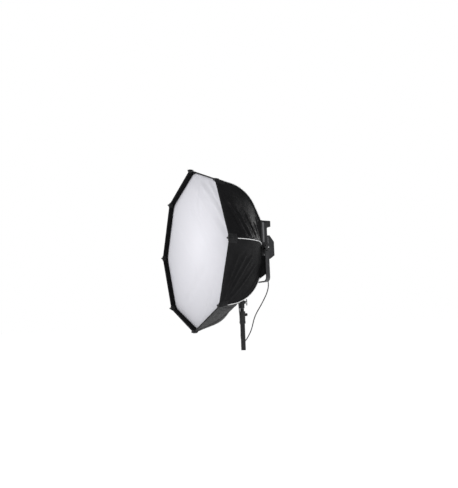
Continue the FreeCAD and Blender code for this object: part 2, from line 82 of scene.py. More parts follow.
# ---------------------------------------------------------------- materials
class Mat:
    """A Principled material with small helpers for procedural detail, in metres."""

    def __init__(self, name, color, rough, metal=0.0, uv=False, **sockets):
        self.m = bpy.data.materials.new(name)
        self.m.use_nodes = True
        self.t = self.m.node_tree
        self.b = self.t.nodes["Principled BSDF"]
        self.b.inputs["Base Color"].default_value = (*color, 1)
        self.b.inputs["Roughness"].default_value = rough
        self.b.inputs["Metallic"].default_value = metal
        for key, value in sockets.items():
            self.b.inputs[key.replace("_", " ")].default_value = value
        self.coord = self.t.nodes.new("ShaderNodeTexCoord").outputs["UV" if uv else "Object"]
        self.normal = None

    def link(self, a, b):
        self.t.links.new(a, b)

    def node(self, kind, source=None, **values):
        """A shader node with the values of its inputs, fed by a coordinate where it takes one."""
        n = self.t.nodes.new("ShaderNode" + kind)
        for key, value in values.items():
            n.inputs[key].default_value = value
        if source is not None:
            self.link(source, n.inputs["Vector"])
        return n

    def mapped(self, scale):
        return self.node("Mapping", self.coord, Scale=scale).outputs["Vector"]

    def noise(self, scale, detail=4.0, vector=None):
        return self.node("TexNoise", vector or self.coord, Scale=scale, Detail=detail).outputs["Fac"]

    def wave(self, scale, axis):
        n = self.node("TexWave", self.coord, Scale=scale)
        n.wave_type, n.bands_direction, n.wave_profile = "BANDS", axis, "SIN"
        return n.outputs["Fac"]

    def voronoi(self, scale):
        return self.node("TexVoronoi", self.coord, Scale=scale).outputs["Distance"]

    def math(self, op, a, b=None):
        n = self.node("Math")
        n.operation = op
        for i, x in enumerate((a, b)):
            if x is None:
                continue
            if isinstance(x, (int, float)):
                n.inputs[i].default_value = x
            else:
                self.link(x, n.inputs[i])
        return n.outputs[0]

    def span(self, value, lo, hi, to_lo, to_hi):
        n = self.node("MapRange")
        for key, x in zip(("From Min", "From Max", "To Min", "To Max"), (lo, hi, to_lo, to_hi)):
            n.inputs[key].default_value = x
        self.link(value, n.inputs["Value"])
        return n.outputs["Result"]

    def tint(self, fac, low, high):
        """Base colour that runs between two colours by a factor."""
        n = self.node("Mix")
        n.data_type = "RGBA"
        n.inputs[6].default_value, n.inputs[7].default_value = (*low, 1), (*high, 1)
        self.link(fac, n.inputs[0])
        self.link(n.outputs[2], self.b.inputs["Base Color"])
        return self

    def roughness(self, fac, low, high):
        self.link(self.span(fac, 0.3, 0.7, low, high), self.b.inputs["Roughness"])
        return self

    def bump(self, height, strength, distance):
        n = self.node("Bump", Strength=strength, Distance=distance)
        self.link(height, n.inputs["Height"])
        if self.normal is not None:
            self.link(self.normal, n.inputs["Normal"])
        self.normal = n.outputs["Normal"]
        self.link(self.normal, self.b.inputs["Normal"])
        return self


def woven(name, color, light, pitch, rough=0.72, uv=True, ripstop=0.0, sheen=0.25, patch=9.0, strength=0.55,
          spec=0.25):
    """Cloth: crossing threads at the given pitch, uneven dye, and a ripstop grid where it has one."""
    m = Mat(name, color, rough, uv=uv, Sheen_Weight=sheen, Sheen_Roughness=0.45, Specular_IOR_Level=spec)
    k = 0.5 * math.pi / pitch / 5
    warp, weft = m.wave(k, "X"), m.wave(k, "Y")
    weave = m.math("MULTIPLY", warp, weft)
    height = m.math("ADD", weave, m.math("MULTIPLY", m.noise(900, 2), 0.5))
    if ripstop:
        r = 0.5 * math.pi / ripstop / 5
        grid = m.math("MAXIMUM", m.span(m.wave(r, "X"), 0.93, 1.0, 0, 1),
                      m.span(m.wave(r, "Y"), 0.93, 1.0, 0, 1))
        height = m.math("ADD", height, grid)
    m.bump(height, strength, 0.0004)
    cloud = m.noise(patch, 5)
    m.tint(m.span(cloud, 0.3, 0.7, 0, 1), color, light)
    return m.roughness(m.noise(40, 3), rough - 0.08, rough + 0.1)


def powder_coat(name, color, light, rough=0.5, metal=0.0, grain=1500):
    m = Mat(name, color, rough, metal)
    m.bump(m.noise(grain, 3), 0.35, 0.0003)
    wear = m.span(m.noise(35, 8), 0.58, 0.75, 0, 1)
    m.tint(wear, color, light)
    return m.roughness(m.noise(18, 6), rough - 0.1, rough + 0.12)


def brushed(name, color, light, rough=0.32, axis=(1, 1, 60), metal=1.0):
    m = Mat(name, color, rough, metal)
    lines = m.noise(30, 8, m.mapped(axis))
    m.bump(lines, 0.25, 0.0003)
    m.tint(m.span(lines, 0.3, 0.7, 0, 1), color, light)
    return m.roughness(m.noise(60, 4), rough - 0.08, rough + 0.12)


def moulded(name, color, light, rough=0.45, grain=700, depth=0.0003):
    m = Mat(name, color, rough)
    m.bump(m.voronoi(grain), 0.3, depth)
    m.tint(m.span(m.noise(14, 6), 0.35, 0.7, 0, 1), color, light)
    return m.roughness(m.noise(45, 4), rough - 0.07, rough + 0.1)


SHELL = woven("shell nylon", (0.0035, 0.0035, 0.0039), (0.0065, 0.0065, 0.0072), 0.0011, 0.56, ripstop=0.006,
              sheen=0.0, spec=0.11)
SILVER = woven("silver lining", (0.62, 0.63, 0.65), (0.75, 0.76, 0.78), 0.0012, 0.34, sheen=0.0)
SILVER.b.inputs["Metallic"].default_value = 0.85
SKIRT = woven("skirt nylon", (0.0030, 0.0030, 0.0033), (0.0055, 0.0055, 0.006), 0.0012, 0.7, uv=False,
              sheen=0.0, spec=0.08)
LIP = woven("lip nylon", (0.0030, 0.0030, 0.0034), (0.0055, 0.0055, 0.006), 0.0011, 0.8, sheen=0.0, spec=0.06)
DIFFUSION = woven("diffusion cloth", (0.76, 0.755, 0.80), (0.80, 0.795, 0.84), 0.0009, 0.8, sheen=0.1, patch=3.0,
                  strength=0.3)
# Painted shade: the cloth is brighter in the middle and greyer to the rim, where the lip shades it, as the photo shows
# it.
at = DIFFUSION.node("VectorMath")
at.operation = "DISTANCE"
at.inputs[1].default_value = (0.06, TILT + 0.05, 0)
DIFFUSION.link(DIFFUSION.coord, at.inputs[0])
# painted shade that grows toward the rim, plus uneven tone from noise
rim_shade_and_tone = DIFFUSION.math("ADD", DIFFUSION.span(at.outputs["Value"], 0.05, 0.56, 0, 0.85),
                        DIFFUSION.math("MULTIPLY", DIFFUSION.noise(3.0, 5), 0.15))
DIFFUSION.tint(rim_shade_and_tone, (0.84, 0.832, 0.88), (0.60, 0.598, 0.635))
PIPING = woven("piping", (0.74, 0.74, 0.75), (0.86, 0.86, 0.86), 0.0009, 0.6, uv=False, strength=0.8)
BINDING = woven("binding tape", (0.005, 0.005, 0.0055), (0.010, 0.010, 0.011), 0.0014, 0.75, uv=False, sheen=0.05,
                strength=0.9, spec=0.12)
PATCH = woven("corner pocket", (0.006, 0.006, 0.0065), (0.012, 0.012, 0.013), 0.0018, 0.7, uv=False, sheen=0.05,
              strength=1.0, spec=0.15)
THREAD = woven("thread", (0.016, 0.016, 0.017), (0.03, 0.03, 0.032), 0.0006, 0.6, uv=False, sheen=0.0, spec=0.2)
HOOK = Mat("hook tape", (0.02, 0.02, 0.021), 0.9, Sheen_Weight=0.4)
HOOK.bump(HOOK.voronoi(900), 1.0, 0.0008).tint(HOOK.noise(300), (0.012, 0.012, 0.013), (0.03, 0.03, 0.032))
WEBBING = woven("webbing", (0.018, 0.018, 0.019), (0.035, 0.035, 0.037), 0.0022, 0.75, uv=False, strength=1.0)
BLACK = powder_coat("black powder coat", (0.012, 0.012, 0.013), (0.035, 0.035, 0.035), 0.5)
REAR = powder_coat("rear housing paint", (0.020, 0.020, 0.022), (0.05, 0.05, 0.052), 0.48)
TUBE = brushed("black anodised tube", (0.012, 0.012, 0.013), (0.028, 0.028, 0.029), 0.4, (60, 60, 1), 0.5)
SINK = brushed("black anodised fins", (0.018, 0.018, 0.019), (0.035, 0.035, 0.036), 0.5, (1, 1, 40), 0.6)
ALLOY = brushed("grey alloy", (0.042, 0.042, 0.044), (0.075, 0.075, 0.078), 0.45, (50, 50, 1), 0.5)
STEEL = brushed("steel", (0.42, 0.42, 0.43), (0.6, 0.6, 0.6), 0.3, (40, 40, 3))
SCREW = brushed("black oxide screw", (0.05, 0.05, 0.05), (0.12, 0.12, 0.12), 0.35, (90, 90, 90), 0.8)
ROD = brushed("coated spring rod", (0.05, 0.05, 0.052), (0.09, 0.09, 0.092), 0.4, (40, 3, 40), 0.4)
PLASTIC = moulded("moulded plastic", (0.018, 0.018, 0.019), (0.032, 0.032, 0.033), 0.45)
RUBBER = moulded("rubber", (0.014, 0.014, 0.014), (0.025, 0.025, 0.025), 0.62, 1100)
CORD = moulded("cord jacket", (0.008, 0.008, 0.008), (0.016, 0.016, 0.016), 0.5, 900)
WINDOW = moulded("led window", (0.72, 0.70, 0.62), (0.80, 0.78, 0.72), 0.35, 300)
DISPLAY = Mat("display glass", (0.006, 0.008, 0.012), 0.08, Coat_Weight=1.0)
DISPLAY.tint(DISPLAY.noise(20, 2), (0.005, 0.007, 0.011), (0.008, 0.010, 0.015))
DISPLAY.bump(DISPLAY.noise(50, 2), 0.02, 0.0003)
SEGMENT = Mat("display segments", (0.35, 0.75, 0.9), 0.4, Emission_Strength=0.35)
SEGMENT.b.inputs["Emission Color"].default_value = (0.35, 0.75, 0.9, 1)
SEGMENT.bump(SEGMENT.noise(900), 0.2, 0.0002)
MARK = moulded("white mark", (0.75, 0.75, 0.75), (0.82, 0.82, 0.82), 0.5)

# Painted highlight: the panel housing's front bezel is painted light grey for the highlight along its front edge, and
# the rear part stays darker.
PANEL = brushed("panel housing", (0.03, 0.03, 0.032), (0.05, 0.05, 0.052), 0.45, (1, 60, 1), 0.5)
split = PANEL.node("SeparateXYZ")
PANEL.link(PANEL.coord, split.inputs[0])
# painted highlight: light grey in front of y = 11 mm, the housing's dark colour from y = 12.5 mm back
PANEL.tint(PANEL.span(split.outputs["Y"], 0.011, 0.0125, 0, 1), (0.20, 0.20, 0.205), (0.035, 0.035, 0.037))

CAD_MATERIALS = (
    (TUBE, "column_tube riser_tube"), (ALLOY, "yoke_bar"), (PANEL, "panel_housing"), (WINDOW, "led_window"),
    (BLACK, "riser_collar yoke_receiver pivot_brackets top_brackets softbox_frame rib_sockets"),
    (STEEL, "riser_spigot receiver_knob yoke_bolt"), (SINK, "heat_sink"), (REAR, "rear_housing"),
    (DISPLAY, "display_window"), (ROD, "corner_ribs side_ribs upright_ribs"),
    (PLASTIC, "collar_knob tilt_knob_right tilt_knob_left dimmer_knob power_rocker rocker_bezel cord_gland"),
    (RUBBER, "menu_button_1 menu_button_2 cord_boot rib_tips mains_plug"))
for mat, nodes in CAD_MATERIALS:
    for node in nodes.split():
        NODES[node].data.materials.clear()
        NODES[node].data.materials.append(mat.m)


# ---------------------------------------------------------------- mesh helpers
def make(name, verts, faces, mats, body, slot, smooth=True, uvs=None, mat_index=None):
    """A mesh object in the row frame, riding on a body."""
    me = bpy.data.meshes.new(name)
    me.from_pydata([tuple(v) for v in verts], [], [tuple(int(i) for i in f) for f in faces])
    for m in mats if isinstance(mats, (list, tuple)) else [mats]:
        me.materials.append(m.m)
    if smooth:
        me.polygons.foreach_set("use_smooth", [True] * len(me.polygons))
    if mat_index is not None:
        me.polygons.foreach_set("material_index", [int(i) for i in mat_index])
    if uvs is not None:
        layer = me.uv_layers.new(name="UVMap")
        loops = np.zeros(len(me.loops), int)
        me.loops.foreach_get("vertex_index", loops)
        layer.data.foreach_set("uv", np.asarray(uvs, float)[loops].ravel())
    me.validate()
    me.update()
    o = bpy.data.objects.new(name, me)
    bpy.context.scene.collection.objects.link(o)
    if body:
        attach(o, body)
    return o


def unit(v):
    """Vectors of length 1, from one vector or an array of them."""
    return v / (np.linalg.norm(v) if v.ndim == 1 else np.linalg.norm(v, axis=-1)[..., None])


def frames_along(points):
    """Two directions across a line at each of its points, turning as little as possible."""
    p = np.asarray(points, float)
    t = unit(np.gradient(p, axis=0))
    a = unit(np.cross(t[0], (0, 0, 1.0) if abs(t[0][2]) < 0.9 else (1.0, 0, 0)))
    rows = []
    for tangent in t:
        a = unit(a - tangent * (a @ tangent))
        rows.append((a, np.cross(tangent, a)))
    return p, rows


def loop_faces(loops, size, closed=True):
    """Faces between loops of points that follow each other, and from the last back to the first where closed."""
    faces = []
    for i in range(loops if closed else loops - 1):
        k = (i + 1) % loops
        faces += [(i * size + j, i * size + (j + 1) % size, k * size + (j + 1) % size, k * size + j)
                  for j in range(size)]
    return faces


def sweep(points, radius, sides=10):
    """Vertices and faces of a round tube along a line; the radius may vary along it."""
    p, rows = frames_along(points)
    radius = np.broadcast_to(radius, len(p))
    verts = []
    for q, (a, b), r in zip(p, rows, radius):
        for j in range(sides):
            w = 2 * math.pi * j / sides
            verts.append(q + r * (math.cos(w) * a + math.sin(w) * b))
    last = (len(p) - 1) * sides
    ends = [tuple(range(sides))[::-1], tuple(last + j for j in range(sides))]
    return verts, loop_faces(len(p), sides, closed=False) + ends


def merge(parts):
    """Several (verts, faces) pairs as one."""
    verts, faces = [], []
    for v, f in parts:
        faces += [tuple(i + len(verts) for i in face) for face in f]
        verts += list(v)
    return verts, faces


def lengths(line):
    """Length along a line, at each of its points."""
    return np.r_[0, np.cumsum(np.linalg.norm(np.diff(line, axis=0), axis=1))]


def values_at(w, s, values):
    """Rows of three values, known at lengths s, read at lengths w."""
    return np.c_[[np.interp(w, s, values[:, i]) for i in range(3)]].T


def resample(points, step):
    p = np.asarray(points, float)
    d = lengths(p)
    return values_at(np.linspace(0, d[-1], max(2, int(round(d[-1] / step)) + 1)), d, p)


def stitches(points, out, pitch=0.008, length=0.0052, r=0.0006):
    """A row of raised stitches along a line; out is the surface normal at each of its points."""
    p = resample(points, pitch)
    normals = resample_like(points, out, len(p))
    parts = []
    for a, b, n in zip(p[:-1], p[1:], normals):
        d = (b - a) / max(np.linalg.norm(b - a), 1e-9)
        side = np.cross(d, n)
        c = (a + b) / 2
        tips = [c - d * length / 2 - n * r, c + d * length / 2 - n * r]
        ring = [c - d * length / 4, c + d * length / 4]
        v = [tips[0]] + [q + w for q in ring for w in (side * r, n * r * 1.2, -side * r, -n * r)] + [tips[1]]
        f = [(0, 1, 2), (0, 2, 3), (0, 3, 4), (0, 4, 1), (9, 6, 5), (9, 7, 6), (9, 8, 7), (9, 5, 8)]
        f += [(1 + i, 5 + i, 5 + (i + 1) % 4, 1 + (i + 1) % 4) for i in range(4)]
        parts.append((v, f))
    return merge(parts)


def resample_like(points, values, n):
    """Unit vectors given at the points of a line, read at n even steps along it."""
    p = np.asarray(points, float)
    d = lengths(p)
    return unit(values_at(np.linspace(0, d[-1], n), d, np.broadcast_to(np.asarray(values, float), p.shape)))


# ---------------------------------------------------------------- softbox shell
hem_lo, hem_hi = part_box("front_hem")
fr_lo, fr_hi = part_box("softbox_frame")
AXIS = (hem_lo.z + hem_hi.z) / 2
RIM_R, RIM_Y = hem_hi.x, hem_lo.y
# Where a rib bends: how far out from frame to rim, in which plane, and the radius of the bend.
SIDE_BEND, UPRIGHT_BEND = (0.844, -0.160, 0.320), (0.787, -0.112, 0.240)


def bend(k):
    return UPRIGHT_BEND if k % 4 == 0 else SIDE_BEND


def rib_points(k):
    a = math.radians(45 * (k % 8))
    corner = np.array([RIM_R * math.sin(a), RIM_Y, AXIS + RIM_R * math.cos(a)])
    side = (k % 4 != 0) * (1 if k % 8 < 4 else -1)
    up = (1, 1, 0, -1, -1, -1, 0, 1)[k % 8]
    rear = np.array([side * fr_hi.x, fr_lo.y - 0.0004, AXIS + up * (fr_hi.z - AXIS)])
    knee = rear + (corner - rear) * bend(k)[0]
    knee[1] = bend(k)[1]
    return corner, knee, rear


def rib_line(k, rows=(17, 31, 17)):
    """The rib's outer line from rim to frame: a run, a bend and a run."""
    corner, knee, rear = rib_points(k)
    radius = bend(k)[2]
    front = corner + (knee - corner) * 0.004 / (knee[1] - RIM_Y)
    a, b = unit(front - knee), unit(rear - knee)
    half = math.acos(a @ b) / 2
    t = radius / math.tan(half)
    centre = knee + unit(a + b) * radius / math.sin(half)
    t0, t1 = knee + a * t, knee + b * t
    e0, e1 = (t0 - centre) / radius, (t1 - centre) / radius
    total = math.acos(np.clip(e0 @ e1, -1, 1))
    arc = [centre + radius * (math.sin((1 - s) * total) * e0 + math.sin(s * total) * e1) / math.sin(total)
           for s in np.linspace(0, 1, rows[1])]
    run0 = [front + (t0 - front) * s for s in np.linspace(0, 1, rows[0])[:-1]]
    run1 = [t1 + (rear - t1) * s for s in np.linspace(0, 1, rows[2])[1:]]
    return np.array(run0 + arc + run1)


RIBS = [rib_line(k) for k in range(8)]
ROWS = len(RIBS[0])
RUN_ROW = 16
RUN = [np.linalg.norm(r[RUN_ROW] - r[0]) for r in RIBS]     # straight run of each rib behind the rim
POCKET_L = 0.060
V_AT = lengths(RIBS[1])     # share of the way from rim to frame, at each row
V_AT /= V_AT[-1]
NU = 44     # columns in each gore

# Creases on each gore, as (from u, v), (to u, v), height in mm, half width in mm. u runs from one seam to the
# next, v from the rim to the frame.
CREASES = {
    1: [((0.20, 0.05), (0.97, 0.31), 5.0, 12), ((0.42, 0.24), (0.97, 0.42), 5.0, 12),
        ((0.40, 0.42), (0.96, 0.57), 4.2, 11), ((0.50, 0.62), (0.97, 0.78), 4.2, 11),
        ((0.20, 0.75), (0.80, 0.97), 3.4, 12)],
    2: [((0.98, 0.03), (0.16, 0.20), 5.0, 11), ((0.98, 0.03), (0.14, 0.36), 5.6, 12),
        ((0.97, 0.04), (0.20, 0.52), 5.2, 12), ((0.97, 0.05), (0.42, 0.70), 4.2, 12),
        ((0.60, 0.74), (0.28, 0.95), 3.2, 10), ((0.95, 0.35), (0.78, 0.95), 3.2, 10)],
    3: [((0.04, 0.05), (0.55, 0.55), 4.0, 15), ((0.96, 0.04), (0.50, 0.60), 4.0, 15),
        ((0.30, 0.50), (0.45, 0.92), 3.4, 13)],
    0: [((0.96, 0.04), (0.45, 0.50), 4.0, 15), ((0.05, 0.05), (0.50, 0.42), 3.4, 15),
        ((0.55, 0.55), (0.60, 0.95), 3.0, 14)],
}


def gore_creases(k):
    if k in CREASES:
        return CREASES[k]
    r = np.random.RandomState(40 + k)
    rows = []
    for side in (0, 1):
        for _ in range(3):
            u1 = 0.25 + 0.5 * r.rand()
            rows.append(((abs(side - 0.03), 0.03 + 0.03 * r.rand()), (u1, 0.35 + 0.5 * r.rand()),
                         3 + 1.8 * r.rand(), 11 + 5 * r.rand()))
    rows.append(((0.2 + 0.6 * r.rand(), 0.6), (0.2 + 0.6 * r.rand(), 0.97), 3.0, 12))
    return rows


def crease_height(u, v, rows, width, length):
    """Height in metres of the crease ridges at u, v."""
    h = np.zeros_like(u)
    x, y = u * width, v * length
    for (u0, v0), (u1, v1), amp, w in rows:
        ax, ay, bx, by = u0 * width, v0 * length, u1 * width, v1 * length
        dx, dy = bx - ax, by - ay
        n = math.hypot(dx, dy)
        t = ((x - ax) * dx + (y - ay) * dy) / n ** 2
        d = ((x - ax) * dy - (y - ay) * dx) / n
        d = d + 0.006 * np.sin(t * 5 + amp)
        w = w / 1000 * (0.55 + 0.6 * np.clip(t, 0, 1))
        window = np.clip(np.minimum(t, 1 - t) / 0.22, 0, 1)
        window = np.where((t < 0) | (t > 1), 0, window * window * (3 - 2 * window))
        h += amp / 1000 * window * (np.exp(-(d / w) ** 2) - 0.55 * np.exp(-((np.abs(d) - 1.7 * w) / w) ** 2))
    return h


def shell_surface(k, u):
    """Line across gore k at share u from one rib to the next, rim to frame."""
    a, b = RIBS[k], RIBS[(k + 1) % 8]
    return a + (b - a) * u


def build_shell():
    """One sheet of eight gores, drawn in between the ribs, with its tension creases."""
    cols = []
    for k in range(8):
        width = 0.44 if k in (0, 3, 4, 7) else 0.42
        for j in range(NU):
            u = j / NU
            base = shell_surface(k, u)
            back = np.clip((V_AT - 0.12) / 0.25, 0, 1)
            sag = (4 * u * (1 - u)) ** 0.9 * 0.011 * back * back * (3 - 2 * back) * np.sin(V_AT * math.pi) ** 0.6
            h = crease_height(np.full(ROWS, u), V_AT, gore_creases(k), width, 0.5)
            h *= np.clip(min(u, 1 - u) / 0.05, 0, 1) * np.clip(np.minimum(V_AT / 0.05, (1 - V_AT) / 0.04), 0, 1)
            # The diffuser's edge stands just inside the cloth behind the rim and keeps it from sinking there.
            floor = -0.0012 - 0.05 * np.clip(V_AT - 0.13, 0, 1)
            cols.append((base, np.maximum(h - sag, floor)))
    base = np.array([c[0] for c in cols])
    lift = np.array([c[1] for c in cols])
    du = np.roll(base, -1, 0) - np.roll(base, 1, 0)
    dv = np.gradient(base, axis=1)
    n = unit(np.cross(du, dv))
    mid = base.mean(axis=(0, 1))
    if ((base - mid) * n).sum() < 0:
        n = -n
    return base, lift, n


def grid_faces(cols, rows, closed=True):
    faces = []
    for i in range(cols if closed else cols - 1):
        j = (i + 1) % cols
        for r in range(rows - 1):
            faces.append((i * rows + r, j * rows + r, j * rows + r + 1, i * rows + r + 1))
    return faces


def slab_faces(cols, rows, one_diagonal=False):
    """Outside, underside and edge strip of a slab whose two grids follow each other in its vertices.
    With one_diagonal the underside splits along the same diagonals as the outside."""
    m = cols * rows
    top = grid_faces(cols, rows, False)
    under = [(f[0] + m, f[3] + m, f[2] + m, f[1] + m) if one_diagonal else tuple(i + m for i in f[::-1]) for f in top]
    rim = [i * rows for i in range(cols)] + [(cols - 1) * rows + i for i in range(1, rows)]
    rim += [i * rows + rows - 1 for i in range(cols - 2, -1, -1)] + list(range(rows - 2, 0, -1))
    return top + under + [(rim[i], rim[i - 1], rim[i - 1] + m, rim[i] + m) for i in range(len(rim))]


base, lift, normal = build_shell()
outer = base + normal * lift[:, :, None]
thick = 0.0016
inner = outer - normal * thick
cols = 8 * NU
uv = np.zeros((cols, ROWS, 2))
uv[:, :, 0] = (np.arange(cols) * 0.0148)[:, None]
uv[:, :, 1] = V_AT[None, :] * 0.52
verts = np.r_[outer.reshape(-1, 3), inner.reshape(-1, 3)]
f_out = grid_faces(cols, ROWS)
n_out = cols * ROWS
f_in = [(f[0] + n_out, f[3] + n_out, f[2] + n_out, f[1] + n_out) for f in f_out]
edge = []
for i in range(cols):
    j = (i + 1) % cols
    for r, flip in ((0, False), (ROWS - 1, True)):
        q = (i * ROWS + r, n_out + i * ROWS + r, n_out + j * ROWS + r, j * ROWS + r)
        edge.append(q[::-1] if flip else q)
lip_rows = int(np.searchsorted(V_AT * 0.48, 0.041))
index = [0] * len(f_out) + [2 if (f[0] % ROWS) < lip_rows else 1 for f in f_out] + [2] * len(edge)
shell = make("shell", verts, f_out + f_in + edge, [SHELL, SILVER, LIP], "softbox", "black_fabric",
             uvs=np.r_[uv.reshape(-1, 2), uv.reshape(-1, 2)], mat_index=index)
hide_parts(*["shell_panel_%d" % k for k in range(1, 9)])


# ---------------------------------------------------------------- seams, piping, pockets, hem
def seam(k, start, share, out=0.0):
    """The seam line of rib k from a length behind the rim to a share of it all, raised outward."""
    line = RIBS[k % 8]
    radial = line - np.array([0, 0, AXIS])
    radial[:, 1] *= 0.35
    s = lengths(line)
    w = np.linspace(start, share * s[-1], 60)
    p, r = values_at(w, s, line), unit(values_at(w, s, unit(radial)))
    return p + r * out, r


parts = []
for k in range(8):
    line, r = seam(k, POCKET_L + 0.003, 0.985, 0.0022)
    wave = np.sin(np.linspace(0, 30, 60) + k)[:, None] * 0.0003
    parts.append(sweep(line + r * wave, 0.0023, 8))
piping = make("seam_piping_cord", *merge(parts), PIPING, "softbox", "white_piping")
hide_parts("seam_piping")

# Twin stitch rows either side of each seam.
parts = []
for k in range(8):
    for gore, u in ((k, 0.018), ((k - 1) % 8, 0.982)):
        line = shell_surface(gore, u)
        i = gore * NU + (0 if u < 0.5 else NU - 1)
        n = normal[i]
        keep = (V_AT > 0.04) & (V_AT < 0.97)
        parts.append(stitches(line[keep] + n[keep] * 0.0003, n[keep]))
make("seam_stitching", *merge(parts), THREAD, "softbox", "black_fabric")


def pocket_surface(k, half=0.033, rows=12, side=9):
    """Saddle-shaped reinforcing patch over the rim end of a seam, with a bound edge."""
    grid, normals = [], []
    length = 0.46
    w = np.linspace(0.0, POCKET_L / RUN[k] * V_AT[RUN_ROW], rows)
    for j in range(-side, side + 1):
        u = abs(j) / side * half / length
        g, uu = (k, u) if j >= 0 else ((k - 1) % 8, 1 - u)
        line = shell_surface(g, uu)
        n = normal[(g * NU + int(round(uu * NU))) % cols]
        p, nn = values_at(w, V_AT, line), values_at(w, V_AT, n)
        edge_drop = 0.0012 * (1 - min(1, (1 - abs(j) / side) / 0.18))
        rise = 0.0024 - edge_drop + 0.0009 * np.exp(-(j / 2.2) ** 2)
        grid.append(p + nn * rise)
        normals.append(nn)
    return np.array(grid), np.array(normals)


parts, rows_of_thread = [], []
for k in range(8):
    g, n = pocket_surface(k)
    c, r = g.shape[:2]
    v = np.r_[g.reshape(-1, 3), (g - n * 0.0022).reshape(-1, 3)]
    parts.append((list(v), slab_faces(c, r)))
    for a in (2, c - 3):
        rows_of_thread.append(stitches(g[a] + n[a] * 0.0002, n[a], 0.007, 0.0048))
    for b in (r - 2, r - 4):
        rows_of_thread.append(stitches(g[2:-2, b] + n[2:-2, b] * 0.0002, n[2:-2, b], 0.007, 0.0048))
pockets = make("corner_pocket_patches", *merge(parts), PATCH, "softbox", "black_fabric")
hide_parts("corner_pockets")
make("corner_pocket_stitching", *merge(rows_of_thread), THREAD, "softbox", "black_fabric")


def corner_tab(k, half=0.024, cols=15):
    """Reinforced tab folded over the rim at a corner, swollen over the end of the rib."""
    a = math.radians(45 * k)
    corner = np.array([RIM_R * math.sin(a), RIM_R * math.cos(a)])
    sides = [unit(np.array([RIM_R * math.sin(a + s), RIM_R * math.cos(a + s)]) - corner)
             for s in (-math.pi / 4, math.pi / 4)]
    outs = [unit(corner - e * (corner @ e)) for e in sides]
    outer, under = [], []
    for d in np.linspace(-half, half, cols):
        e = sides[0] if d < 0 else sides[1]
        w = 0.5 + 0.5 * np.clip(d / 0.009, -1, 1)
        n = unit(outs[0] * (1 - w) + outs[1] * w)
        p = corner + e * abs(d)
        puff = math.exp(-(d / 0.011) ** 2)
        close = np.clip((half - abs(d)) / 0.004, 0, 1)
        t = 0.0012 + 0.0014 * close + 0.0016 * puff
        deep = 0.0085 + 0.0085 * puff
        # (out, back) from the rim: from the outside of the shell over the rim to the inside.
        profile = [(t * 0.7, 0.030), (t, 0.016), (t, 0.003), (t * 0.4, -t * 0.9), (-0.003, -t * 1.3),
                   (-0.007, -t * 1.1), (-deep, 0.001), (-deep - 0.0012, 0.012), (-deep - 0.0004, 0.026)]
        outer.append([(p[0] + n[0] * r, RIM_Y + y, AXIS + p[1] + n[1] * r) for r, y in profile])
        under.append([(p[0] + n[0] * r * 0.6 - n[0] * 0.0005, RIM_Y + 0.0005 + max(y, 0),
                       AXIS + p[1] + n[1] * (r * 0.6 - 0.0005)) for r, y in profile])
    outer, under = np.array(outer), np.array(under)
    thread = stitches(outer[1:-1, 1], outer[cols // 2, 1] - outer[cols // 2, 6], 0.006, 0.004)
    return (list(np.r_[outer.reshape(-1, 3), under.reshape(-1, 3)]), slab_faces(cols, len(profile))), thread


def rod_sleeve(k):
    """Pocket behind the rim that holds the front end of a rib, as deep as the recess."""
    corner, knee, _ = rib_points(k)
    d = unit(knee - corner)
    inward = np.array([0, corner[1], AXIS]) - corner
    inward = unit(inward - d * (inward @ d))
    line = [corner + inward * 0.0085 + d * t for t in np.linspace(0.006, 0.0375, 12)]
    radius = 0.0048 + 0.0012 * np.abs(np.sin(np.linspace(0, 5.5, 12) + k)) * np.linspace(1, 0.3, 12)
    return sweep(line, radius, 14)


tabs = [corner_tab(k) for k in range(8)]
tab_piece = make("corner_tabs", *merge([t[0] for t in tabs]), PATCH, "softbox", "black_fabric")
make("corner_tab_stitching", *merge([t[1] for t in tabs]), THREAD, "softbox", "black_fabric")
sleeves = make("rod_sleeves", *merge([rod_sleeve(k) for k in range(8)]), LIP, "softbox", "black_fabric")

# Rim binding: a soft tape folded over the rim, with a stitch row.
corners = np.array([[RIM_R * math.sin(a), 0, RIM_R * math.cos(a)] for a in np.radians(45 * np.arange(8))])
ring = []
for k in range(8):
    for t in np.linspace(0, 1, 24)[:-1]:
        ring.append(corners[k] + (corners[(k + 1) % 8] - corners[k]) * t)
ring = np.array(ring)
unit_out = unit(ring)
profile = [(-0.0002, 0.0), (-0.0008, 0.0026), (-0.0026, 0.0038), (-0.0050, 0.0040), (-0.0068, 0.0030),
           (-0.0076, 0.0010), (-0.0076, -0.0060), (-0.0060, -0.0066), (-0.0044, -0.0060), (-0.0020, -0.0066),
           (-0.0002, -0.0060)]
verts = []
for i, (p, o) in enumerate(zip(ring, unit_out)):
    ripple = 0.0003 * math.sin(i * 1.7) * math.sin(i * 0.31)
    for d, h in profile:
        q = p * (1 + d / RIM_R)
        verts.append((q[0] + o[0] * ripple, RIM_Y + 0.004 - h + ripple, AXIS + q[2] + o[2] * ripple))
hem = make("rim_binding", verts, loop_faces(len(ring), len(profile)), BINDING, "softbox", "black_fabric")
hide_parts("front_hem")
inner_ring = np.c_[ring[:, 0] * 0.9925, np.full(len(ring), RIM_Y - 0.0001), AXIS + ring[:, 2] * 0.9925]
make("rim_stitching", *stitches(np.r_[inner_ring, inner_ring[:1]], (0, -1, 0), 0.009, 0.006), THREAD, "softbox",
     "black_fabric")


# Where the skirt starts and ends on each gore, as shares of the gore.
SKIRT_SPAN = {2: (0.42, 1.0), 3: (0.0, 1.0), 4: (0.0, 1.0), 5: (0.0, 0.58)}
DOWN = np.array([0, 0, -1.0])


def ramp(value, start, length):
    return np.clip((value - start) / length, 0, 1)


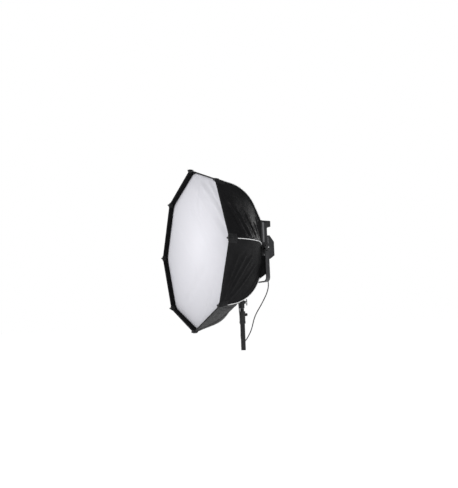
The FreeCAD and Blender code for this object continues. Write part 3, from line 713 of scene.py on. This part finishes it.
def skirt():
    """Skirt behind the lower half of the shell, which wraps the frame and the foot of the panel."""
    rows, sections = 12, []
    for k, (lo, hi) in SKIRT_SPAN.items():
        for j in range(NU):
            u = j / NU
            if not lo <= u <= hi:
                continue
            col = outer[k * NU + j]
            end = base[k * NU + j][-1]
            # 0.42 at the skirt's upper ends, 1 at the frame's lower corners and 0.55 midway between those corners.
            across = {2: u, 3: 1 - u * 0.45, 4: 0.55 + u * 0.45, 5: 1 - u}[k]
            side = np.array([math.copysign(1, end[0]), 0, 0])
            if k in (2, 5):
                t = ramp(across, 0.72, 0.26)
                w = t * t * (3 - 2 * t)
                c = ramp(across, 0.86, 0.14)
                n = side * (1 - 0.5 * c) + DOWN * 0.5 * c
            else:
                w = across
                n = DOWN + side * 0.7 * ramp(across, 0.93, 0.07)
            n = unit(n)
            back = np.linalg.norm(col[::-1] - end, axis=1)
            reach = 0.010 + 0.068 * w
            start = np.array([np.interp(reach, back, col[::-1][:, i]) for i in range(3)]) + np.array([0, 0.0022, 0])
            low = end + n * (0.003 + 0.034 * w)
            low[1] = -0.006
            stop = end + n * (0.0025 + 0.006 * w)
            stop[1] = 0.010
            ripple = 0.0008 * math.sin(j * 0.9 + k) * w
            s = np.linspace(0, 1, rows)[:, None]
            line = (1 - s) ** 3 * start + 3 * (1 - s) * s * low + s ** 3 * stop
            sections.append(line + n * ripple * np.sin(s * math.pi))
    return np.array(sections)


def cloth_solid(grid, thickness):
    """Thin solid from a grid of points."""
    n = np.cross(np.gradient(grid, axis=0), np.gradient(grid, axis=1))
    n /= np.linalg.norm(n, axis=2)[:, :, None] + 1e-12
    low = grid + n * thickness
    return np.r_[grid.reshape(-1, 3), low.reshape(-1, 3)], slab_faces(*grid.shape[:2], one_diagonal=True)


skirt_grid = skirt()
skirt_piece = make("frame_skirt", *cloth_solid(skirt_grid, 0.0012), SKIRT, "softbox", "black_fabric")
hem_line = skirt_grid[:, -1] + (skirt_grid[:, -2] - skirt_grid[:, -1]) * 0.5
skirt_out = np.gradient(skirt_grid, axis=0)[:, -1]
skirt_out = -np.cross(skirt_out, np.array([0, 1.0, 0]))
away = hem_line - np.array([0, 0, AXIS])
skirt_out *= np.sign((skirt_out * away).sum(axis=1))[:, None]
stitch_line = hem_line + unit(skirt_out) * 0.0004
make("frame_skirt_stitching", *stitches(stitch_line, skirt_out), THREAD, "softbox", "black_fabric")


# ---------------------------------------------------------------- diffuser
def shell_octagon(y):
    pts = []
    for k in range(8):
        corner, knee, _ = rib_points(k)
        pts.append(corner + (knee - corner) * (y - RIM_Y) / (knee[1] - RIM_Y))
    return np.array(pts)


def inset_clip(pts, inset, clip):
    """Polygon moved in by the inset, with its corners cut off to clear the ribs."""
    n, lines = len(pts), []
    for i in range(n):
        a, b = pts[i][[0, 2]], pts[(i + 1) % n][[0, 2]]
        d = unit(b - a)
        nrm = np.array([-d[1], d[0]])
        if nrm @ (np.array([0, AXIS]) - a) < 0:
            nrm = -nrm
        lines.append((a + nrm * inset, d))
    poly = []
    for i in range(n):
        (p, d), (q, e) = lines[i - 1], lines[i]
        t = np.linalg.solve(np.array([d, -e]).T, q - p)[0]
        poly.append(p + d * t)
    out = []
    for i, p in enumerate(poly):
        a, b = poly[i - 1], poly[(i + 1) % n]
        out += [p + unit(a - p) * clip, p + unit(b - p) * clip]
    return np.array(out)


# Gaps inside the shell, width of the tapes, and how far from a corner the outer and inner outlines are cut across it.
EDGE_GAP, LEDGE_GAP, TAPE_WIDTH, CUT, INNER_CUT = 0.0042, 0.0036, 0.024, 0.026, 0.012
d_lo, d_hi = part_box("diffuser_panel")
edge_poly = inset_clip(shell_octagon(d_lo.y + 0.004), EDGE_GAP, CUT)


def boundary(poly, count):
    """A number of points spaced evenly round a polygon."""
    closed = np.r_[poly, poly[:1]]
    d = lengths(closed)
    s = np.linspace(0, d[-1], count + 1)[:-1]
    return np.c_[np.interp(s, d, closed[:, 0]), np.interp(s, d, closed[:, 1])]


RINGS, SPOKES = 56, 192
rim2 = boundary(edge_poly, SPOKES)
c2 = np.array([0.0, AXIS])
# Folds of the diffuser, in x, z about the axis: from, to, height and half width in mm.
FOLDS = [
    ((0.10, 0.50), (0.52, 0.06), 5.0, 26), ((0.22, 0.50), (0.55, 0.10), 4.5, 20),
    ((0.00, 0.48), (0.48, -0.02), 4.5, 30), ((-0.14, 0.46), (0.36, -0.10), 3.6, 34),
    ((0.05, 0.54), (0.12, 0.20), 3.0, 22), ((0.34, 0.42), (0.56, 0.12), 3.2, 16),
    ((-0.45, 0.30), (0.10, -0.20), 2.6, 44), ((-0.30, -0.44), (0.20, -0.10), 2.6, 40),
    ((0.10, -0.52), (0.40, -0.10), 2.8, 30), ((0.40, -0.36), (0.54, -0.02), 2.8, 22),
    ((-0.52, -0.10), (-0.10, -0.30), 2.4, 40)]


def diffuser_height(x, z):
    h = np.zeros_like(x)
    for (x0, z0), (x1, z1), amp, w in FOLDS:
        dx, dz = x1 - x0, z1 - z0
        n = math.hypot(dx, dz)
        t = ((x - x0) * dx + (z - z0) * dz) / n ** 2
        d = ((x - x0) * dz - (z - z0) * dx) / n + 0.012 * np.sin(3 * t + amp)
        window = np.clip(np.minimum(t + 0.08, 1.08 - t) / 0.3, 0, 1)
        window = window * window * (3 - 2 * window)
        wm = w / 1000 * (0.6 + 0.5 * np.clip(t, 0, 1))
        h += amp / 1000 * window * (np.exp(-(d / wm) ** 2) - 0.5 * np.exp(-((np.abs(d) - 1.8 * wm) / wm) ** 2))
    return h


pts, fac = [c2], [0.0]
for r in range(1, RINGS + 1):
    t = (r / RINGS) ** 0.9
    for p in rim2:
        pts.append(c2 + (p - c2) * t)
        fac.append(t)
pts, fac = np.array(pts), np.array(fac)
h = diffuser_height(pts[:, 0], pts[:, 1] - AXIS) * np.clip((1 - fac) / 0.10, 0, 1)
h += 0.004 * (1 - fac ** 2)
front = np.c_[pts[:, 0], d_lo.y + 0.0006 - h, pts[:, 1]]
faces = [(0, 1 + (j + 1) % SPOKES, 1 + j) for j in range(SPOKES)]
faces += [tuple(i + 1 for i in f) for f in loop_faces(RINGS, SPOKES, closed=False)]
back = front + np.array([0, 0.0010, 0])
m = len(front)
last = 1 + (RINGS - 1) * SPOKES
sides = [(last + j, last + (j + 1) % SPOKES, m + last + (j + 1) % SPOKES, m + last + j) for j in range(SPOKES)]
uv = np.c_[pts[:, 0], pts[:, 1]]
diffuser = make("diffuser_cloth", np.r_[front, back], faces + [tuple(i + m for i in f[::-1]) for f in faces] + sides,
                DIFFUSION, "diffuser", "diffusion_fabric", uvs=np.r_[uv, uv])
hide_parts("diffuser_panel")

# Edge tape sewn round the diffuser, with its hook side on the back.
inner2 = boundary(inset_clip(shell_octagon(d_lo.y + 0.004), EDGE_GAP + TAPE_WIDTH, INNER_CUT), SPOKES)


def flat_ring(a, b, y0, y1, rows=3):
    loops = []
    for y, ends in ((y0, (0, 1)), (y1, (1, 0))):
        for t in np.linspace(*ends, rows):
            p = a + (b - a) * t
            loops.append(np.c_[p[:, 0], np.full(len(a), y), p[:, 1]])
    return np.concatenate(loops), loop_faces(len(loops), len(a))


band_lo, band_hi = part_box("diffuser_hook_band")
band = make("diffuser_hook_tape", *flat_ring(rim2, inner2, band_lo.y, band_hi.y), HOOK, "diffuser", "hook_tape")
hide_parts("diffuser_hook_band")
ledge_lo, ledge_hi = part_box("shell_loop_ledge")
ledge_outer = boundary(inset_clip(shell_octagon(ledge_hi.y), LEDGE_GAP, CUT), SPOKES)
ledge_inner = boundary(inset_clip(shell_octagon(ledge_hi.y), LEDGE_GAP + TAPE_WIDTH, INNER_CUT), SPOKES)
ledge = make("loop_tape_ledge", *flat_ring(ledge_outer, ledge_inner, ledge_lo.y, ledge_hi.y), HOOK, "softbox",
             "hook_tape")
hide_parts("shell_loop_ledge")
tape2 = c2 + (rim2 - c2) * (1 - 0.016 / 0.57)     # a stitch row 16 mm in from the edge
line = np.c_[tape2[:, 0], np.full(SPOKES, d_lo.y - 0.0001), tape2[:, 1]]
DIFF_THREAD = woven("white thread", (0.55, 0.55, 0.58), (0.65, 0.65, 0.68), 0.0006, 0.6, uv=False)
diff_thread = make("diffuser_stitching", *stitches(np.r_[line, line[:1]], (0, -1, 0), 0.009, 0.006), DIFF_THREAD,
                   "diffuser", "diffusion_fabric")


# ---------------------------------------------------------------- mains cord
ROUTE = [
    (190, 98, -110.3), (190, 98, -138), (185, 113, -176), (169, 138, -218), (149, 150, -266), (128, 144, -314),
    (106, 128, -361), (86, 110, -405), (66, 90, -447), (46, 78, -488), (28, 74, -531), (11, 70, -574),
    (-6, 60, -610), (-22, 50, -638), (-42, 43, -660), (-66, 41, -673), (-92, 44, -674), (-115, 49, -660),
    (-129, 53, -636), (-132, 56, -604), (-129, 55, -556), (-124, 50, -502), (-121, 44, -448), (-120, 40, -396),
    (-121, 38, -350), (-120, 38, -320)]
route = [Vector((x / 1000, y / 1000, TILT + z / 1000)) for x, y, z in ROUTE]
coil_lo, coil_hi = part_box("cord_coil")
COIL = (coil_lo + coil_hi) / 2
COIL_R, TURNS, CORD_D = 0.048, 6.5, 0.008
steps = 16     # of each turn
for i in range(int(TURNS * steps) + 1):
    a = 2 * math.pi * i / steps
    route.append(Vector((COIL.x + COIL_R * 1.008 * math.cos(a), coil_hi.y - CORD_D / 2 - CORD_D * i / steps,
                         COIL.z + COIL_R * 1.008 * math.sin(a))))
plug_lo, plug_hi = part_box("mains_plug")
plug_mid = (plug_lo + plug_hi) / 2
route += [Vector((route[-1].x, plug_mid.y, COIL.z - 0.012)), Vector((plug_mid.x, plug_mid.y, plug_hi.z - 0.004))]
curve = bpy.data.curves.new("cord_line", "CURVE")
curve.dimensions = "3D"
spline = curve.splines.new("NURBS")
spline.points.add(len(route) - 1)
for p, q in zip(spline.points, route):
    p.co = (*q, 1)
spline.order_u = 3
spline.use_endpoint_u = True
spline.resolution_u = 6
line_object = bpy.data.objects.new("cord_line", curve)
bpy.context.scene.collection.objects.link(line_object)
bpy.context.view_layer.update()
line_mesh = bpy.data.meshes.new_from_object(line_object.evaluated_get(bpy.context.evaluated_depsgraph_get()))
centre_line = [tuple(v.co) for v in line_mesh.vertices]
bpy.data.objects.remove(line_object)
cord = make("mains_cord_tube", *sweep(centre_line, CORD_D / 2, 14), CORD, None, "rubber")
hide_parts("mains_cord", "cord_coil")
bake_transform(cord)

# Strap that hangs the coil from the crossbar: a loop of soft webbing.
s_lo, s_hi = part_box("coil_strap")
sx, sw = (s_lo.x + s_hi.x) / 2, (s_hi.x - s_lo.x) / 2


def strap_loop():
    y0, y1, z0, z1, r = s_lo.y + 0.001, s_hi.y - 0.001, s_lo.z + 0.001, s_hi.z - 0.001, 0.005
    pts = []
    for cy, cz, a0 in ((y1 - r, z0 + r, -90), (y1 - r, z1 - r, 0), (y0 + r, z1 - r, 90), (y0 + r, z0 + r, 180)):
        for a in np.radians(np.linspace(a0, a0 + 90, 7)):
            pts.append((cy + r * math.cos(a), cz + r * math.sin(a)))
    return np.array(pts)


loop = strap_loop()
verts = []
t = unit(np.roll(loop, -1, 0) - np.roll(loop, 1, 0))
nrm = np.c_[t[:, 1], -t[:, 0]]
section = [(-1, -0.6), (-0.9, -1), (0.9, -1), (1, -0.6), (1, 0.6), (0.9, 1), (-0.9, 1), (-1, 0.6)]
for p, o in zip(loop, nrm):
    for a, b in section:
        q = p + o * b * 0.0008
        verts.append((sx + a * sw, q[0], q[1]))
strap = make("coil_strap_webbing", verts, loop_faces(len(loop), len(section)), WEBBING, "yoke", "webbing")
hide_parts("coil_strap")


# ---------------------------------------------------------------- small hardware
def screw(at, out, r=0.0042, h=0.0022):
    """Socket-head screw: domed rim, flat top and a hexagonal recess."""
    out = np.array(out, float)
    a = unit(np.cross(out, (0, 0, 1.0) if abs(out[2]) < 0.9 else (1.0, 0, 0)))
    b = np.cross(out, a)
    rings = [(r, 0), (r, h * 0.6), (r * 0.86, h), (r * 0.5, h), (r * 0.5, h * 0.25), (0.0001, h * 0.25)]
    recess, sides = (3, 4), 24
    verts = []
    for i, (radius, up) in enumerate(rings):
        for j in range(sides):
            w = 2 * math.pi * j / sides
            rr = radius
            if i in recess:
                c = w % (math.pi / 3) - math.pi / 6
                rr = radius * math.cos(math.pi / 6) / math.cos(c)
            verts.append(np.array(at) + a * rr * math.cos(w) + b * rr * math.sin(w) + out * up)
    return verts, loop_faces(len(rings), sides, closed=False)


rl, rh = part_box("rear_housing")
pl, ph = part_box("panel_housing")
head_screws = []
for x in (rl.x + 0.014, rl.x + 0.12, rh.x - 0.12, rh.x - 0.014):
    for z in (rl.z + 0.036, rh.z - 0.056):
        head_screws.append(screw((x, rh.y, z), (0, 1, 0)))
for x in np.linspace(pl.x + 0.03, ph.x - 0.03, 7):
    for z in (pl.z + 0.012, ph.z - 0.012):
        if abs(x) < ph.x - 0.05:
            head_screws.append(screw((x, ph.y, z), (0, 1, 0), 0.0036, 0.0018))
for sgn in (-1, 1):
    for y, z in ((0.030, TILT - 0.034), (0.030, TILT + 0.034)):
        head_screws.append(screw((sgn * (ph.x + 0.006), y - 0.006, z), (sgn, 0, 0), 0.0038, 0.0018))
make("housing_screws", *merge(head_screws), SCREW, "head", "steel", smooth=False)

places = [(x, z) for x in np.linspace(fr_lo.x + 0.013, fr_hi.x - 0.013, 7) for z in (fr_lo.z + 0.006, fr_hi.z - 0.006)]
places += [(x, z) for z in np.linspace(fr_lo.z + 0.05, fr_hi.z - 0.05, 3) for x in (fr_lo.x + 0.0045, fr_hi.x - 0.0045)]
frame_screws = [screw((x, fr_hi.y - 0.0006, z), (0, 1, 0), 0.003, 0.0006) for x, z in places]
make("frame_rivets", *merge(frame_screws), SCREW, "softbox", "steel", smooth=False)

# Bright centre caps on the tilt knobs, and a pointer line on the dimmer.
for side, body in ((1, "tilt_lock_right"), (-1, "tilt_lock_left")):
    k_lo, k_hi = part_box("tilt_knob_right" if side > 0 else "tilt_knob_left")
    x = k_hi.x if side > 0 else k_lo.x
    make("tilt_cap_right" if side > 0 else "tilt_cap_left",
         *screw((x - side * 0.0004, 0, TILT), (side, 0, 0), 0.0062, 0.002), STEEL, body, "steel", smooth=False)


def bar(lo, hi, chamfer=0.0003):
    """Small block with chamfered edges."""
    lo, hi = np.array(lo, float), np.array(hi, float)
    c, h = (lo + hi) / 2, (hi - lo) / 2
    verts, index, faces = [], {}, []
    for signs in product((-1, 1), repeat=3):
        for ax in range(3):
            p = h - chamfer
            p[ax] = h[ax]
            index[(*signs, ax)] = len(verts)
            verts.append(c + np.array(signs) * p)

    def vertex(axes, signs, which):
        key = dict(zip(axes, signs))
        return index[(key[0], key[1], key[2], which)]

    for ax in range(3):
        o1, o2 = [i for i in range(3) if i != ax]
        for s in (-1, 1):
            face = [vertex((ax, o1, o2), (s, *q), ax) for q in ((-1, -1), (1, -1), (1, 1), (-1, 1))]
            faces.append(face if s > 0 else face[::-1])
        for q in product((-1, 1), repeat=2):
            faces.append([vertex((ax, o1, o2), (s, *q), which)
                          for s, which in ((-1, o1), (1, o1), (1, o2), (-1, o2))])
    faces += [[index[(*signs, ax)] for ax in range(3)] for signs in product((-1, 1), repeat=3)]
    return verts, faces


dl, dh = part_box("dimmer_knob")
make("dimmer_pointer", *bar(((dl.x + dh.x) / 2 - 0.0008, dh.y - 0.0002, (dl.z + dh.z) / 2 + 0.004),
                            ((dl.x + dh.x) / 2 + 0.0008, dh.y + 0.0005, (dl.z + dh.z) / 2 + 0.013)), MARK, "dimmer",
     "display", smooth=False)
wl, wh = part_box("display_window")
segments = []
for row, widths in enumerate(((0.7,), (0.35, 0.35), (0.9,))):
    z = wh.z - 0.012 - row * 0.0125
    x = wl.x + 0.010
    for w in widths:
        segments.append(bar((x, wh.y, z - 0.0022), (x + w * 0.1, wh.y + 0.0003, z), 0.0001))
        x += w * 0.1 + 0.008
make("display_bars", *merge(segments), SEGMENT, "head", "display", smooth=False)
pr_lo, pr_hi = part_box("power_rocker")
make("rocker_mark", *bar(((pr_lo.x + pr_hi.x) / 2 - 0.0008, pr_hi.y - 0.0009, pr_hi.z - 0.009),
                         ((pr_lo.x + pr_hi.x) / 2 + 0.0008, pr_hi.y + 0.0003, pr_hi.z - 0.003)), MARK, "power_switch",
     "display", smooth=False)

# Perforated grilles in the rear housing's flanks, over the fans. The holes are not cut: each is a near-black hexagonal
# disc on the plate, painted shade for the dark inside seen through it.
plates, hole_shades = [], []
for sgn in (-1, 1):
    x = rh.x if sgn > 0 else rl.x
    y0, y1, z0, z1 = rl.y + 0.006, rl.y + 0.046, rl.z + 0.030, rh.z - 0.014
    plates.append(bar((min(x, x + sgn * 0.0014), y0, z0), (max(x, x + sgn * 0.0014), y1, z1), 0.0006))
    for a in range(5):
        for b in range(16):
            y, z = y0 + 0.006 + a * 0.007, z0 + 0.008 + b * (z1 - z0 - 0.016) / 15.5 + (a % 2) * 0.0038
            front_ring = [np.array([x + sgn * 0.00155, y + 0.0024 * math.cos(q), z + 0.0024 * math.sin(q)])
                          for q in np.radians(np.arange(0, 360, 60) + 30)]
            back_ring = [q - np.array([sgn * 0.0004, 0, 0]) for q in front_ring]
            order = (0, 1, 2, 3, 4, 5) if sgn > 0 else (5, 4, 3, 2, 1, 0)
            sides = [(q, q + 6, (q + 1) % 6 + 6, (q + 1) % 6) for q in range(6)]
            hole_shades.append((front_ring + back_ring, [order] + sides))
GRILLE = brushed("grey grille", (0.15, 0.15, 0.155), (0.22, 0.22, 0.225), 0.45, (1, 50, 1), 0.5)
# painted shade: the near-black discs drawn where the grille's holes are
HOLE_SHADE = moulded("grille hole painted shade", (0.004, 0.004, 0.004), (0.008, 0.008, 0.008), 0.8)
make("flank_grilles", *merge(plates), GRILLE, "head", "black_alloy", smooth=False)
make("flank_grille_hole_shades", *merge(hole_shades), HOLE_SHADE, "head", "black_alloy", smooth=False)

# ---------------------------------------------------------------- stage and light
FLOOR_Z, FLOOR_RADIUS, FLOOR_SIDES = -0.85, 40.0, 64
FLOOR_GLOW = 0.78     # lifts the floor to white in the picture
PAPER, ROOM = 1.0, 0.26     # brightness of the background that is seen, and of the room that lights the object
LIGHTS = (     # name, place, what it points at, width in m, power in W
    ("key", (-1.2, -3.7, 2.9), (0, -0.3, 0.75), 2.0, 60),
    ("side", (3.2, -1.2, 3.2), (0.3, -0.2, 0.75), 0.9, 60),
    ("back", (-1.8, 3.4, 2.6), (0, 0, 0.7), 1.8, 60))


def floor():
    me = bpy.data.meshes.new("floor")
    n = FLOOR_SIDES
    turns = [2 * math.pi * i / n for i in range(n)]
    verts = [(0, 0, FLOOR_Z)] + [(FLOOR_RADIUS * math.cos(a), FLOOR_RADIUS * math.sin(a), FLOOR_Z) for a in turns]
    me.from_pydata(verts, [], [(0, 1 + i, 1 + (i + 1) % n) for i in range(n)])
    m = Mat("pale floor", (0.92, 0.92, 0.92), 0.9)
    m.b.inputs["Emission Color"].default_value = (1, 1, 1, 1)
    m.b.inputs["Emission Strength"].default_value = FLOOR_GLOW
    me.materials.append(m.m)
    o = bpy.data.objects.new("floor", me)
    bpy.context.scene.collection.objects.link(o)


def room():
    """White paper behind, and a dimmer room that lights the object."""
    world = bpy.data.worlds.new("studio")
    world.use_nodes = True
    t = world.node_tree
    seen, unseen = t.nodes["Background"], t.nodes.new("ShaderNodeBackground")
    seen.inputs["Color"].default_value, seen.inputs["Strength"].default_value = (1, 1, 1, 1), PAPER
    unseen.inputs["Color"].default_value, unseen.inputs["Strength"].default_value = (0.97, 0.98, 1, 1), ROOM
    path, mix = t.nodes.new("ShaderNodeLightPath"), t.nodes.new("ShaderNodeMixShader")
    t.links.new(path.outputs["Is Camera Ray"], mix.inputs[0])
    t.links.new(unseen.outputs[0], mix.inputs[1])
    t.links.new(seen.outputs[0], mix.inputs[2])
    t.links.new(mix.outputs[0], t.nodes["World Output"].inputs["Surface"])
    bpy.context.scene.world = world


def lights():
    for name, at, aim, size, power in LIGHTS:
        light = bpy.data.lights.new(name, "AREA")
        light.shape, light.size, light.energy = "SQUARE", size, power
        o = bpy.data.objects.new(name, light)
        o.location = at
        o.rotation_mode = "QUATERNION"
        o.rotation_quaternion = (Vector(aim) - Vector(at)).to_track_quat("-Z", "Y")
        bpy.context.scene.collection.objects.link(o)


floor()
room()
lights()
bpy.context.scene.view_settings.view_transform = "Standard"
